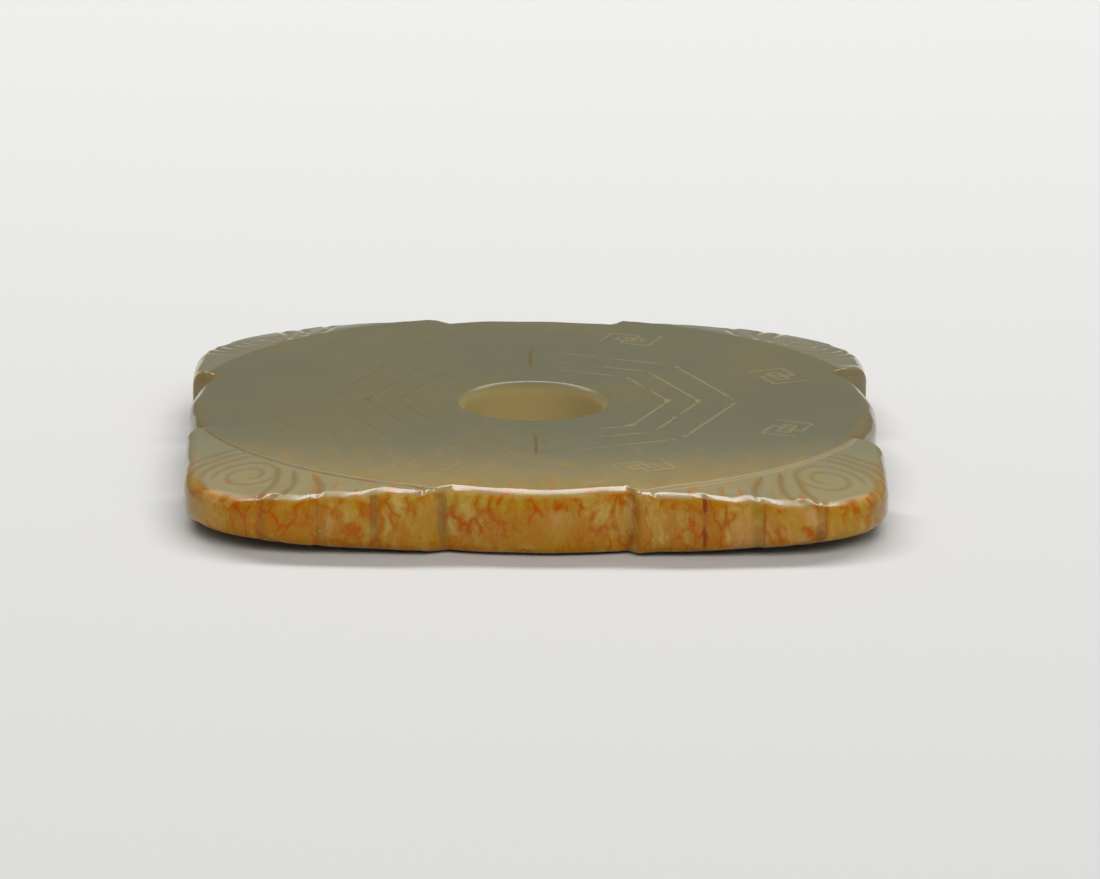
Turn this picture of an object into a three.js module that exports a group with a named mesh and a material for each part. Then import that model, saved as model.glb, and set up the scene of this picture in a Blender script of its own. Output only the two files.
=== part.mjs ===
// A carved jade plaque, cut from one stone: a round disc with a hole, on a rounded square whose four
// corners are cut as cloud scrolls. Millimetres, +Z up. The front edge faces -Y, and the origin is on
// the underside, at the middle of the hole. Shares without another word are of half the width.

import * as THREE from 'three';

// Disc
const plaqueWidth = 55; // across opposite sides, which is also the disc's diameter
const discThickness = 5.3;
const discUpperRound = 1.5; // rounding of the disc's bare edge, above and below
const discUnderRound = 0.9;
const boreDiameter = 11.2;
const boreRimRound = 0.9;
const reliefWidth = 0.4; // width of the slope from the disc's face down to a corner's

// Corners, which lie lower than the disc and thin towards their tips
const frontLeftRoundShare = 0.313; // radius of each corner in plan: the rear ones were cut rounder
const frontRightRoundShare = 0.298;
const rearLeftRoundShare = 0.436;
const rearRightRoundShare = 0.382;
const sideBow = 0.3; // how far a side has fallen back at a corner's tip
const faceStep = 0.35; // from the disc's upper face down to a corner, at the disc's line
const faceTipDrop = 1.05; // from the disc's upper face down to a corner, at its tip
const underStep = 0.18;
const underTipLift = 1.05;
const cornerEdgeWidth = 1.1;
const cornerEdgeHeight = 1.3;
const pillowPower = 1.5; // how late a corner's fall comes: 1 is a straight slope
const narrowEdgeShare = 0.6; // share of a narrow corner end that its rounded edge may take

// Notches where a corner breaks off the disc, measured from the middle of each side
const frontNotchShare = 0.28;
const rearNotchShare = 0.28;
const leftNotchShare = 0.287;
const rightNotchShare = 0.378;
const notchWidth = 0.45;
const notchDepth = 0.22;

// Upright flutes in the front and rear edges, each with its place from the middle of the side, half
// width and depth
const sharpFlutePlaceShare = 0.465;
const sharpFluteReach = 0.45;
const sharpFluteDepth = 0.16;
const softFlutePlaceShare = 0.611;
const softFluteReach = 1.2;
const softFluteDepth = 0.2;
const broadFlutePlaceShare = 0.785;
const broadFluteReach = 1.5;
const broadFluteDepth = 0.28;

// Carved lines of a corner
const lineWidth = 0.5;
const lineDepth = 0.22;
const scrollShare = 0.8; // radius of a scroll, as a share of the clear way round its middle
const scrollHookShare = 0.3; // radius of its inner end, as a share of its outer one
const scrollTurns = 1.7;
const scrollDirection = 43; // degrees from the side axis
const echoPitch = 1.05; // from the scroll out to its first echo, and on to the next
const echoCount = 3;

// Strokes that sweep from the disc's line to the flutes, by three points each: the share of the turn
// from the scroll to the notch, and the share of the way from the disc's line to the rounded edge
const lineMargin = 0.1; // bare stone left beside a carved line
const strokeShares = [
  [[0.41, 0.06], [0.51, 0.5], [0.526, 1]],
  [[0.275, 0.06], [0.402, 0.54], [0.436, 1]],
  [[0.161, 0.06], [0.268, 0.5], [0.302, 1]],
];

// Fineness of the facets
const arcSteps = 4;
const stationGap = 3.6; // degrees
const scrollStepsPerTurn = 11;
const echoSteps = 6;
const strokeSteps = 5;

const half = plaqueWidth / 2;
const flutes = [
  { place: half * sharpFlutePlaceShare, reach: sharpFluteReach, depth: sharpFluteDepth },
  { place: half * softFlutePlaceShare, reach: softFluteReach, depth: softFluteDepth },
  { place: half * broadFlutePlaceShare, reach: broadFluteReach, depth: broadFluteDepth },
];
const boreRadius = boreDiameter / 2;
const degrees = THREE.MathUtils.degToRad;

const jade = new THREE.MeshStandardMaterial({ name: 'jade', color: 0xa9a58a, roughness: 0.28, metalness: 0 });

// Points and triangles of the stone's surface
const points = [];
const triangles = [];

function addPoint(x, y, z) {
  points.push(new THREE.Vector3(x, y, z));
  return points.length - 1;
}

// A triangle of the upper (side 1) or under (side -1) face, turned to look out of the stone
function addFacing(a, b, c, side) {
  const [p, q, r] = [points[a], points[b], points[c]];
  const area = (q.x - p.x) * (r.y - p.y) - (q.y - p.y) * (r.x - p.x);
  if (area * side > 0) triangles.push(a, b, c);
  else triangles.push(a, c, b);
}

function makeCorner(mirrorX, mirrorY, sideNotch, endNotch, roundShare) {
  const planRound = half * roundShare;
  const tip = (half - planRound) * Math.SQRT2 + planRound - sideBow;
  return { mirrorX, mirrorY, sideNotch, endNotch, planRound, tip };
}

// Distance from the middle to the edge of a corner, in the direction of an angle from the side axis
function cornerEdge(angle, corner) {
  const centre = half - corner.planRound;
  const along = Math.max(Math.cos(angle), Math.sin(angle));
  const beside = Math.min(Math.cos(angle), Math.sin(angle));
  const bow = sideBow * (beside / along) ** 2;
  if (half * beside <= centre * along) return half / along - bow;
  const sum = along + beside;
  return centre * sum + Math.sqrt(corner.planRound ** 2 - centre ** 2 * (2 - sum ** 2)) - bow;
}

// How far the flutes set the edge back, at an angle from the side axis within one corner
function fluteDepth(angle) {
  let total = 0;
  for (const { place, reach, depth } of flutes) {
    const apart = Math.abs(angle - Math.atan2(half, place)) * half / reach;
    if (apart < 1) total += depth * (1 + Math.cos(Math.PI * apart)) / 2;
  }
  return total;
}

// How far a corner's face lies inside the disc's face at a distance from the middle
function cornerFall(radius, side, corner) {
  const step = side > 0 ? faceStep : underStep;
  const tip = side > 0 ? faceTipDrop : underTipLift;
  const share = Math.max(0, radius - half) / (corner.tip - half);
  return step + (tip - step) * share ** pillowPower;
}

const inwards = (fall, side) => (side > 0 ? discThickness - fall : fall);

// A column of the surface: a direction from the middle, where the stone ends there, and its rounded edge
function makeColumn(angle, edge, corner) {
  const room = (edge - half) * narrowEdgeShare;
  const round = (side) => (side > 0 ? discUpperRound : discUnderRound);
  return {
    x: Math.cos(angle),
    y: Math.sin(angle),
    edge,
    corner,
    shoulder: (side) => edge - (corner ? Math.min(cornerEdgeWidth, room) : round(side)),
    height: (side) => (corner ? cornerEdgeHeight : round(side)),
  };
}

function fillAngles(anchors) {
  const sorted = [...anchors].sort((a, b) => a - b);
  const angles = [sorted[0]];
  for (let i = 1; i < sorted.length; i++) {
    const gap = sorted[i] - sorted[i - 1];
    const steps = Math.ceil(gap / degrees(stationGap));
    for (let j = 1; j <= steps; j++) angles.push(sorted[i - 1] + gap * j / steps);
  }
  return angles;
}

// The disc's bare edge between the two notches of one side
function sideColumns(notch, turn) {
  const reach = Math.asin(notch / half);
  const groove = notchWidth / half;
  return fillAngles([-reach, groove - reach, 0, reach - groove, reach]).map((angle) => {
    const edge = Math.abs(angle) < reach - groove / 2 ? half : half - notchDepth;
    return makeColumn(angle + turn * Math.PI / 2, edge, null);
  });
}

// One corner, from the notch on its side edge to the notch on its front or rear edge
function cornerColumns(corner) {
  const groove = notchWidth / half;
  const first = Math.asin(corner.sideNotch / half) + groove;
  const last = Math.PI / 2 - Math.asin(corner.endNotch / half) - groove;
  const anchors = [first, first + groove, last - groove, last];
  for (const { place, reach } of flutes) {
    const middle = Math.atan2(half, place);
    for (const share of [-1, -0.5, 0, 0.5, 1]) anchors.push(middle + share * reach / half);
  }
  const columns = fillAngles(anchors).map((angle) => {
    const end = Math.min(angle - first, last - angle) < groove / 2 ? notchDepth : 0;
    const edge = cornerEdge(angle, corner) - fluteDepth(angle) - end;
    const column = makeColumn(angle, edge, corner);
    column.x *= corner.mirrorX;
    column.y *= corner.mirrorY;
    return column;
  });
  return corner.mirrorX * corner.mirrorY > 0 ? columns : columns.reverse();
}

// Rows of points round one face, from the bore's wall out to the edge's wall
function faceRows(columns, side) {
  const rows = [];
  const addRow = (radiusOf, fallOf) => {
    rows.push(columns.map((column) => {
      const radius = radiusOf(column);
      return addPoint(column.x * radius, column.y * radius, inwards(fallOf(column), side));
    }));
  };
  for (let i = arcSteps; i >= 0; i--) {
    const turn = i / arcSteps * Math.PI / 2;
    addRow(() => boreRadius + boreRimRound * (1 - Math.sin(turn)), () => boreRimRound * (1 - Math.cos(turn)));
  }
  addRow((column) => (column.corner ? half - reliefWidth : column.shoulder(side) - 2 * reliefWidth), () => 0);
  addRow((column) => (column.corner ? half : column.shoulder(side) - reliefWidth),
    (column) => (column.corner ? cornerFall(half, side, column.corner) : 0));
  const relief = rows.length - 1;
  for (let i = 0; i <= arcSteps; i++) {
    const turn = i / arcSteps * Math.PI / 2;
    const reach = (column) => column.shoulder(side) + (column.edge - column.shoulder(side)) * Math.sin(turn);
    addRow(reach, (column) => {
      const fall = column.corner ? cornerFall(column.shoulder(side), side, column.corner) : 0;
      return fall + column.height(side) * (1 - Math.cos(turn));
    });
  }
  return { rows, relief };
}

// Distance from the middle to where a corner's face ends at its rounded edge
const faceEnd = (angle, corner) => cornerEdge(angle, corner) - fluteDepth(angle) - cornerEdgeWidth;

// A corner's scroll lies halfway between the disc's line and the rounded edge, as wide as the way to
// the nearer of them allows
function scrollPlace(corner) {
  const middle = (half + faceEnd(degrees(scrollDirection), corner)) / 2;
  const centre = new THREE.Vector2(middle, 0).rotateAround(new THREE.Vector2(), degrees(scrollDirection));
  let clear = middle - half;
  for (const angle of fillAngles([0, Math.PI / 2])) {
    const end = faceEnd(angle, corner);
    clear = Math.min(clear, Math.hypot(end * Math.cos(angle) - centre.x, end * Math.sin(angle) - centre.y));
  }
  return { centre, radius: clear * scrollShare };
}

// A spiral from its outer end in to its hook, as plan points of a corner
function scrollPath({ centre, radius }) {
  const steps = Math.round(scrollStepsPerTurn * scrollTurns);
  const path = [];
  for (let i = 0; i <= steps; i++) {
    const share = i / steps;
    const reach = radius * (1 - (1 - scrollHookShare) * share);
    const angle = -2 * Math.PI * scrollTurns * share;
    path.push(new THREE.Vector2(centre.x + reach * Math.cos(angle), centre.y + reach * Math.sin(angle)));
  }
  return path;
}

// An arc round the scroll's inner side, from the side edge in to the disc's line
function echoPath({ centre, radius }, index, corner) {
  const reach = radius + echoPitch * (index + 1);
  const run = [];
  for (let turn = 0; turn > -180; turn -= 1) {
    const x = centre.x + reach * Math.cos(degrees(turn));
    const y = centre.y + reach * Math.sin(degrees(turn));
    const distance = Math.hypot(x, y);
    const bank = lineWidth / 2 + lineMargin;
    const onFace = distance > half + bank && distance < faceEnd(Math.atan2(y, x), corner) - bank;
    if (onFace) run.push(new THREE.Vector2(x, y));
    else if (run.length) break;
  }
  return run.length > echoSteps ? new THREE.SplineCurve(run).getSpacedPoints(echoSteps) : [];
}

function strokePath(shares, corner) {
  const start = degrees(scrollDirection);
  const span = Math.PI / 2 - Math.asin(corner.endNotch / half) - start;
  const places = shares.map(([turnShare, share]) => {
    const angle = start + span * turnShare;
    const bank = lineWidth / 2 + lineMargin;
    const distance = half + bank + (faceEnd(angle, corner) - half - 2 * bank) * share;
    return new THREE.Vector2(distance * Math.cos(angle), distance * Math.sin(angle));
  });
  return new THREE.SplineCurve(places).getSpacedPoints(strokeSteps);
}

// Cuts a V along plan points of a face, and gives the loop round it that the face is left open for
function cutLine(path, corner, side) {
  const placed = path.map((point) => new THREE.Vector2(point.x * corner.mirrorX, point.y * corner.mirrorY));
  const surface = (point, depth) => addPoint(point.x, point.y,
    inwards(cornerFall(point.length(), side, corner) + depth, side));
  const last = placed.length - 1;
  const start = surface(placed[0], 0);
  const end = surface(placed[last], 0);
  let [left, floor, right] = [start, start, start];
  const leftBank = [];
  const rightBank = [];
  for (let i = 1; i < last; i++) {
    const along = placed[i + 1].clone().sub(placed[i - 1]).normalize();
    const across = new THREE.Vector2(-along.y, along.x).multiplyScalar(lineWidth / 2);
    const next = [surface(placed[i].clone().add(across), 0), surface(placed[i], lineDepth),
      surface(placed[i].clone().sub(across), 0)];
    addFacing(left, next[0], next[1], side);
    addFacing(right, next[2], next[1], side);
    if (i > 1) {
      addFacing(left, next[1], floor, side);
      addFacing(right, next[1], floor, side);
    }
    [left, floor, right] = next;
    leftBank.push(left);
    rightBank.push(right);
  }
  addFacing(left, end, floor, side);
  addFacing(right, end, floor, side);
  return [start, ...leftBank, end, ...rightBank.reverse()];
}

// The sloping face of one corner, with its carved lines left open in it
function fillCorner(corner, outerRow, innerRow, side) {
  const scroll = scrollPlace(corner);
  const paths = [scrollPath(scroll)];
  for (let i = 0; i < echoCount; i++) paths.push(echoPath(scroll, i, corner));
  for (const shares of strokeShares) paths.push(strokePath(shares, corner));
  const holes = paths.filter((line) => line.length > 3).map((line) => cutLine(line, corner, side));
  const contour = [...outerRow, ...[...innerRow].reverse()];
  const plan = (loop) => loop.map((index) => new THREE.Vector2(points[index].x, points[index].y));
  const all = [contour, ...holes].flat();
  for (const [a, b, c] of THREE.ShapeUtils.triangulateShape(plan(contour), holes.map(plan))) {
    addFacing(all[a], all[b], all[c], side);
  }
}

function addStrip(inner, outer, skip) {
  for (let i = 0; i < inner.length; i++) {
    const next = (i + 1) % inner.length;
    if (skip && skip(i, next)) continue;
    triangles.push(inner[i], outer[i], outer[next]);
    triangles.push(inner[i], outer[next], inner[next]);
  }
}

function makePlaque() {
  const shares = [rightNotchShare, rearNotchShare, leftNotchShare, frontNotchShare];
  const notches = shares.map((share) => half * share);
  const [rightNotch, rearNotch, leftNotch, frontNotch] = notches;
  const corners = [
    makeCorner(1, 1, rightNotch, rearNotch, rearRightRoundShare),
    makeCorner(-1, 1, leftNotch, rearNotch, rearLeftRoundShare),
    makeCorner(-1, -1, leftNotch, frontNotch, frontLeftRoundShare),
    makeCorner(1, -1, rightNotch, frontNotch, frontRightRoundShare),
  ];
  const columns = corners.flatMap((corner, turn) => [
    ...sideColumns(notches[turn], turn),
    ...cornerColumns(corner),
  ]);
  const sameCorner = (i, j) => columns[i].corner && columns[i].corner === columns[j].corner;

  const upper = faceRows(columns, 1);
  const under = faceRows(columns, -1);
  for (const [face, side] of [[upper, 1], [under, -1]]) {
    for (let i = 0; i < face.rows.length - 1; i++) {
      const [inner, outer] = side > 0 ? [face.rows[i], face.rows[i + 1]] : [face.rows[i + 1], face.rows[i]];
      addStrip(inner, outer, i === face.relief ? sameCorner : null);
    }
    for (const corner of corners) {
      const own = (row) => row.filter((_, i) => columns[i].corner === corner);
      fillCorner(corner, own(face.rows[face.relief + 1]), own(face.rows[face.relief]), side);
    }
  }
  addStrip(upper.rows.at(-1), under.rows.at(-1));
  addStrip(under.rows[0], upper.rows[0]);

  const geometry = new THREE.BufferGeometry().setFromPoints(points);
  geometry.setIndex(triangles);
  geometry.computeVertexNormals();
  const mesh = new THREE.Mesh(geometry, jade);
  mesh.name = 'plaque';
  return mesh;
}

const group = new THREE.Group();
group.add(makePlaque());

export default group;
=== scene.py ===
import math

import bpy
import numpy as np
from mathutils import Matrix, Vector, geometry, kdtree


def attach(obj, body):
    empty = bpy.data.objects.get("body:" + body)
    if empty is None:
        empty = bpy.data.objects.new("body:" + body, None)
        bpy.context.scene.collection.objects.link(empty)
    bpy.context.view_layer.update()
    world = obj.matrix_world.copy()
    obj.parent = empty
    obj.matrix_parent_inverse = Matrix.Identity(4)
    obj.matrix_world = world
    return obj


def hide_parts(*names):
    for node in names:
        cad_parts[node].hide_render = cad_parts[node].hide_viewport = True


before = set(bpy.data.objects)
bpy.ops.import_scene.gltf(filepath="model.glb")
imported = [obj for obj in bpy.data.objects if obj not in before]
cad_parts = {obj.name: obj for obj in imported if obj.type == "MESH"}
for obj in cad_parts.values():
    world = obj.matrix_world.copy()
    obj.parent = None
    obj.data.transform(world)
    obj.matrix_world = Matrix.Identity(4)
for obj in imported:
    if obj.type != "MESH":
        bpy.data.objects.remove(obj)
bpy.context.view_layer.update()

# A carved jade plaque on a pale table. The stone is worked out in millimetres, as it is drawn,
# and its mesh is made in metres. The front edge faces -Y, and the origin is under the middle of
# the hole.
mm = 0.001
quarter = math.pi / 2

# Camera
shot = {
    "distance": 0.6282,
    "elevation": 15.0,  # degrees above the table
    "yaw": -0.0194,  # radians, round the upright
    "roll": 0.0111,
    "aimRight": 0.00141,  # from the origin to the middle of the frame
    "aimUp": 0.00196,
    "lens": 256.6,
    "sensor": 36,
    "clip": (0.01, 50),
}


def addCamera(size):
    rise = math.radians(size["elevation"])
    right = Vector((math.cos(size["yaw"]), math.sin(size["yaw"]), 0))
    back = Vector((right.y * math.cos(rise), -right.x * math.cos(rise), math.sin(rise)))
    up = back.cross(right)
    turn = math.cos(size["roll"]), math.sin(size["roll"])
    across = right * turn[0] + up * turn[1]
    upward = up * turn[0] - right * turn[1]
    data = bpy.data.cameras.new("camera")
    data.sensor_fit = "HORIZONTAL"
    data.sensor_width = size["sensor"]
    data.lens = size["lens"]
    data.clip_start, data.clip_end = size["clip"]
    camera = bpy.data.objects.new("camera", data)
    bpy.context.scene.collection.objects.link(camera)
    place = across * size["aimRight"] + upward * size["aimUp"] + back * size["distance"]
    facing = Matrix((across, upward, back)).transposed().to_4x4()
    camera.matrix_world = Matrix.Translation(place) @ facing
    bpy.context.scene.camera = camera


print("camera")
addCamera(shot)

# Shader maths


class Wire:
    # An output socket. Sums and products of wires add Math nodes
    def __init__(self, tree, socket=None):
        self.tree = tree
        self.socket = socket

    def node(self, kind, settings=None, out=0, **values):
        made = self.tree.nodes.new("ShaderNode" + kind)
        for name, value in (settings or {}).items():
            setattr(made, name, value)
        for name, value in values.items():
            key = int(name[1:]) if name[0] == "_" else name.replace("_", " ")
            socket = made.inputs[key]
            if isinstance(value, Wire):
                self.tree.links.new(value.socket, socket)
            else:
                socket.default_value = value
        return Wire(self.tree, made.outputs[out])

    def maths(self, operation, *values, kind="Math"):
        slots = {"_%d" % i: value for i, value in enumerate(values)}
        return self.node(kind, {"operation": operation}, **slots)

    def __add__(self, other):
        return self.maths("ADD", self, other)

    def __radd__(self, other):
        return self.maths("ADD", other, self)

    def __sub__(self, other):
        return self.maths("SUBTRACT", self, other)

    def __rsub__(self, other):
        return self.maths("SUBTRACT", other, self)

    def __mul__(self, other):
        return self.maths("MULTIPLY", self, other)

    def __rmul__(self, other):
        return self.maths("MULTIPLY", other, self)

    def within(self, low, high):
        # 0 below low, 1 above high, smooth between them
        return self.node("MapRange", {"interpolation_type": "SMOOTHSTEP"}, Value=self,
                         From_Min=low, From_Max=high)

    def limited(self):
        return self.maths("MINIMUM", self.maths("MAXIMUM", self, 0.0), 1.0)

    def blend(self, below, above):
        # Colour below where this wire is 0, above where it is 1
        below, above = [v if isinstance(v, Wire) else (*v, 1) for v in (below, above)]
        return self.node("Mix", {"data_type": "RGBA"}, 2, _0=self, _6=below, _7=above)


def startMaterial(name):
    material = bpy.data.materials.new(name)
    material.use_nodes = True
    tree = material.node_tree
    surface = tree.nodes["Principled BSDF"]
    return material, tree, surface, Wire(tree)


# Table and light
studio = {
    "tableSpan": 12.0,
    "tableDrop": 0.00001,
    "tableColour": (0.72, 0.715, 0.70),
    "grain": 900.0,
    "grainShade": 0.985,  # how dark the grain is beside the table's colour
    "roughness": 0.7,
    "specular": 0.25,
    "world": 0.18,
}
lamps = [
    # name, place, aimed at, width, depth, watts, whether it is seen in the polish
    ("overhead strip", (0.0, 0.43, 0.614), (0, 0, 0), 1.0, 0.13, 5.2, True),
    ("front", (0.3, -1.15, 1.3), (0, 0, 0), 2.2, 1.3, 17.5, False),
]


def addTable(size):
    bpy.ops.object.select_all(action="DESELECT")
    bpy.ops.mesh.primitive_plane_add(size=size["tableSpan"], location=(0, 0, -size["tableDrop"]))
    table = bpy.context.object
    table.name = "table"
    material, tree, surface, wire = startMaterial("table paint")
    place = wire.node("TexCoord", out="Object")
    grain = wire.node("TexNoise", Vector=place, Scale=size["grain"], Detail=3.0)
    darker = [value * size["grainShade"] for value in size["tableColour"]]
    shade = grain.blend(darker, size["tableColour"])
    tree.links.new(shade.socket, surface.inputs["Base Color"])
    surface.inputs["Roughness"].default_value = size["roughness"]
    surface.inputs["Specular IOR Level"].default_value = size["specular"]
    table.data.materials.append(material)


def addLamp(name, place, target, width, depth, watts, mirrored):
    data = bpy.data.lights.new(name, "AREA")
    data.shape = "RECTANGLE"
    data.size, data.size_y = width, depth
    data.energy = watts
    lamp = bpy.data.objects.new(name, data)
    lamp.location = place
    lamp.rotation_euler = (Vector(place) - Vector(target)).to_track_quat("Z", "Y").to_euler()
    lamp.visible_glossy = mirrored
    bpy.context.scene.collection.objects.link(lamp)


print("table and light")
addTable(studio)
for lamp in lamps:
    addLamp(*lamp)
world = bpy.data.worlds.new("studio")
world.use_nodes = True
world.node_tree.nodes["Background"].inputs["Color"].default_value = (1, 1, 1, 1)
world.node_tree.nodes["Background"].inputs["Strength"].default_value = studio["world"]
bpy.context.scene.world = world
bpy.context.scene.view_settings.view_transform = "Standard"

# The stone's form
# Corner by corner the order is rear right, rear left, front left, front right. By face, 1 is the
# upper one and -1 the one underneath
stone = {
    "half": 27.5,  # half the width, and the disc's radius
    "thickness": 5.3,
    "bore": 5.6,  # the hole's radius
    "boreRound": 0.9,
    "discRounds": {1: 1.5, -1: 0.9},  # at the disc's bare edge
    "stepWide": 0.2,
    "fallWide": 3.0,
    "planRounds": (10.505, 11.99, 8.6075, 8.195),  # of the corners, seen from above
    "sideNotches": (10.395, 7.8925, 7.8925, 10.395),
    "endNotches": (7.1, 6.8, 6.75, 7.05),  # where the disc's bare edge ends
    "sideRuns": (1.4, 1.4, 1.0, 1.0),  # from there to the full corner
    "endRuns": (0.9, 1.3, 1.75, 0.7),
    "sideBow": 0.3,  # how far a corner's edge lies inside the disc's width
    "steps": {1: 0.17, -1: 0.12},  # height of the step down from the disc to a corner
    "falls": {1: (0.08, 0.08, 0.25, 0.25), -1: (0.06, 0.06, 0.06, 0.06)},  # further fall beyond it
    "tipDrops": {1: 1.05, -1: 1.05},  # the whole fall at a corner's tip
    "edgeRound": 1.25,
    "leastRound": 0.3,
    "roundWaves": (0.08, 0.05),  # how unevenly the edge is rounded
    "narrowEdge": 0.95,  # share of a corner's width that its rounded edge may take
    "leastWall": 0.25,
    "leastFall": 0.08,
    "droopRun": 0.8,  # share of the way in from the edge to the disc's line
    "leastRun": 2.2,
    "droopBlend": 0.6,
    "droopStart": (0.5, 0.25),  # radians from the side axis, and over how many
    "facetStart": (0.77, 0.1),  # likewise; up to there the edge is plainly round
    "skewLimits": (-0.12, 0.15),
    "pillow": 1.5,  # power of the fall towards the tip
    "sideStepRun": 2.5,  # how slowly the step sets in, at a corner's side and at its end
    "endStepRun": 0.6,
    "notchDepth": 0.06,
    "notchReach": 0.5,
    "waver": 0.035,  # unevenness of the hand-cut edge
    "swell": 0.02,  # unevenness of the faces
}
# Flutes of the front and rear edge: place, reach, depth, depth added at the top, sharpness, and
# how much polish they lack
leftFlutes = [(12.1, 1.3, 0.1, 0.18, 1.0, 0.2), (16.0, 1.1, 0.12, 0.14, 1.0, 0.7),
              (20.3, 1.4, 0.16, 0.14, 1.0, 0.7), (26.6, 2.4, 0.0, 0.0, 1.0, 1.0)]
rightFlutes = [(12.84, 0.6, 0.12, 0.1, 1.2, 0.2), (16.8, 1.3, 0.14, 0.18, 1.0, 0.2),
               (20.7, 1.5, 0.18, 0.16, 1.0, 0.7), (27.4, 2.4, 0.0, 0.0, 1.0, 1.0)]
flutesByCorner = [rightFlutes, leftFlutes, leftFlutes, rightFlutes]
# How much lower the upper face lies along the front edge than its own fall: place, depth
leftDroops = [(0, 0.25), (3.5, 0.17), (6.8, 0.0), (8.6, 0.1), (12.1, -0.2), (14.4, 0.0),
              (16.2, -0.2), (18.8, 0.05), (20.9, -0.15), (23.9, 0.2), (27.0, 0.2)]
rightDroops = [(0, 0.25), (3.5, 0.17), (7.0, 0.0), (8.0, 0.15), (12.0, 0.05), (12.84, -0.02),
               (15.4, 0.2), (16.8, 0.0), (18.6, 0.22), (20.0, 0.25), (21.4, 0.05), (23.4, 0.3),
               (27.0, 0.3)]
droopsByCorner = {2: leftDroops, 3: rightDroops}
# The rounded edge as it turns down: share of its length, and degrees. Its top is polished to a
# narrow facet, which catches the light
edgeTurns = [(0.0, 0), (0.05, 17.0), (0.5, 20.8), (0.64, 50), (1.0, 90)]
nearStep = 0.003  # radians to either side, over which a slope is measured
draw = np.random.default_rng(11)
edgePhases = draw.uniform(0, 2 * math.pi, (2, 12))
swellPhases = draw.uniform(0, 2 * math.pi, (8, 3))

# The same turn as tables of its angle, its reach outwards and its fall
turnShare = np.linspace(0, 1, 201)
turnAngle = np.radians(np.interp(turnShare, *zip(*edgeTurns)))
turnAngle = np.convolve(np.pad(turnAngle, 8, mode="edge"), np.ones(17) / 17, "valid")
turnAngle = (turnAngle - turnAngle[0]) / (turnAngle[-1] - turnAngle[0]) * quarter
turnOut = np.concatenate([[0], np.cumsum(np.cos(turnAngle[1:]))])
turnDown = np.concatenate([[0], np.cumsum(np.sin(turnAngle[1:]))])
turnLength = (len(turnShare) - 1) / math.sqrt(turnOut[-1] * turnDown[-1])
turnOut, turnDown = turnOut / turnOut[-1], turnDown / turnDown[-1]


def smooth(share):
    share = np.clip(share, 0, 1)
    return share * share * (3 - 2 * share)


def cornerOf(angle):
    return np.floor(np.mod(angle, 2 * math.pi) / quarter).astype(int) % 4


def fromSide(angle):
    # Angle from the side axis towards the front or rear, 0 to 90 degrees
    return np.arctan2(np.abs(np.sin(angle)), np.abs(np.cos(angle)))


def perCorner(name, angle):
    return np.asarray(stone[name])[cornerOf(angle)]


def cornerSigns(index):
    # Which way a corner lies along x and y
    return np.array([1 if index in (0, 3) else -1, 1 if index < 2 else -1])


def cornerEdge(angle):
    # From the middle to the edge that a whole corner has in each direction
    local, planRound, half = fromSide(angle), perCorner("planRounds", angle), stone["half"]
    centre = half - planRound
    along = np.maximum(np.cos(local), np.sin(local))
    beside = np.minimum(np.cos(local), np.sin(local))
    bow = stone["sideBow"] * (beside / along) ** 2
    total = along + beside
    inside = np.maximum(planRound ** 2 - centre ** 2 * (2 - total ** 2), 0)
    rounded = centre * total + np.sqrt(inside)
    return np.where(half * beside <= centre * along, half / along, rounded) - bow


def cornerTip(angle):
    planRound = perCorner("planRounds", angle)
    return (stone["half"] - planRound) * math.sqrt(2) + planRound - stone["sideBow"]


def notchEnds(angle):
    # Where the disc's bare edge ends, and where the full corner starts, at both ends of a corner
    half = stone["half"]
    first = np.arcsin(perCorner("sideNotches", angle) / half)
    last = quarter - np.arcsin(perCorner("endNotches", angle) / half)
    full = first + perCorner("sideRuns", angle) / half
    stop = last - perCorner("endRuns", angle) / half
    return first, full, stop, last


def cornerShare(angle):
    # 0 on the disc's bare edge, 1 on a corner
    local = fromSide(angle)
    first, full, stop, last = notchEnds(angle)
    return smooth((local - first) / (full - first)) * smooth((last - local) / (last - stop))


def stepShare(angle):
    # 0 where the face is the disc's own, 1 where the corner's face has stepped down
    local, half = fromSide(angle), stone["half"]
    first, _, stop, _ = notchEnds(angle)
    atSide = smooth((local - first) * half / stone["sideStepRun"])
    return atSide * smooth((stop - local) * half / stone["endStepRun"] + 1)


def cutBack(angle):
    # How far notches, flutes and the maker's hand set the edge back, how much more they do at the
    # top, and where they lack polish
    local, half = fromSide(angle), stone["half"]
    first, _, _, last = notchEnds(angle)
    depth, matt, top = np.zeros((3, *local.shape))
    for notch in (first, last):
        near = np.maximum(0, 1 - np.abs(local - notch) * half / stone["notchReach"])
        depth = np.maximum(depth, stone["notchDepth"] * near)
    for index, cuts in enumerate(flutesByCorner):
        here = cornerOf(angle) == index
        for place, reach, deep, added, sharp, rough in cuts:
            apart = np.abs(local - math.atan2(half, place)) * half / reach
            share = here * (1 + np.cos(np.pi * np.minimum(apart, 1))) / 2
            depth += deep * share ** sharp
            top += added * share ** sharp
            matt = np.maximum(matt, rough * share)
    waver = np.zeros_like(local)
    for i, (one, two) in enumerate(edgePhases.T):
        waves = np.sin((9 + 7 * i) * angle + one) + 0.5 * np.sin((13 + 11 * i) * angle + two)
        waver += waves / (i + 3)
    return depth + stone["waver"] * (1 - np.tanh(waver)) / 2, top, matt


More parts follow.
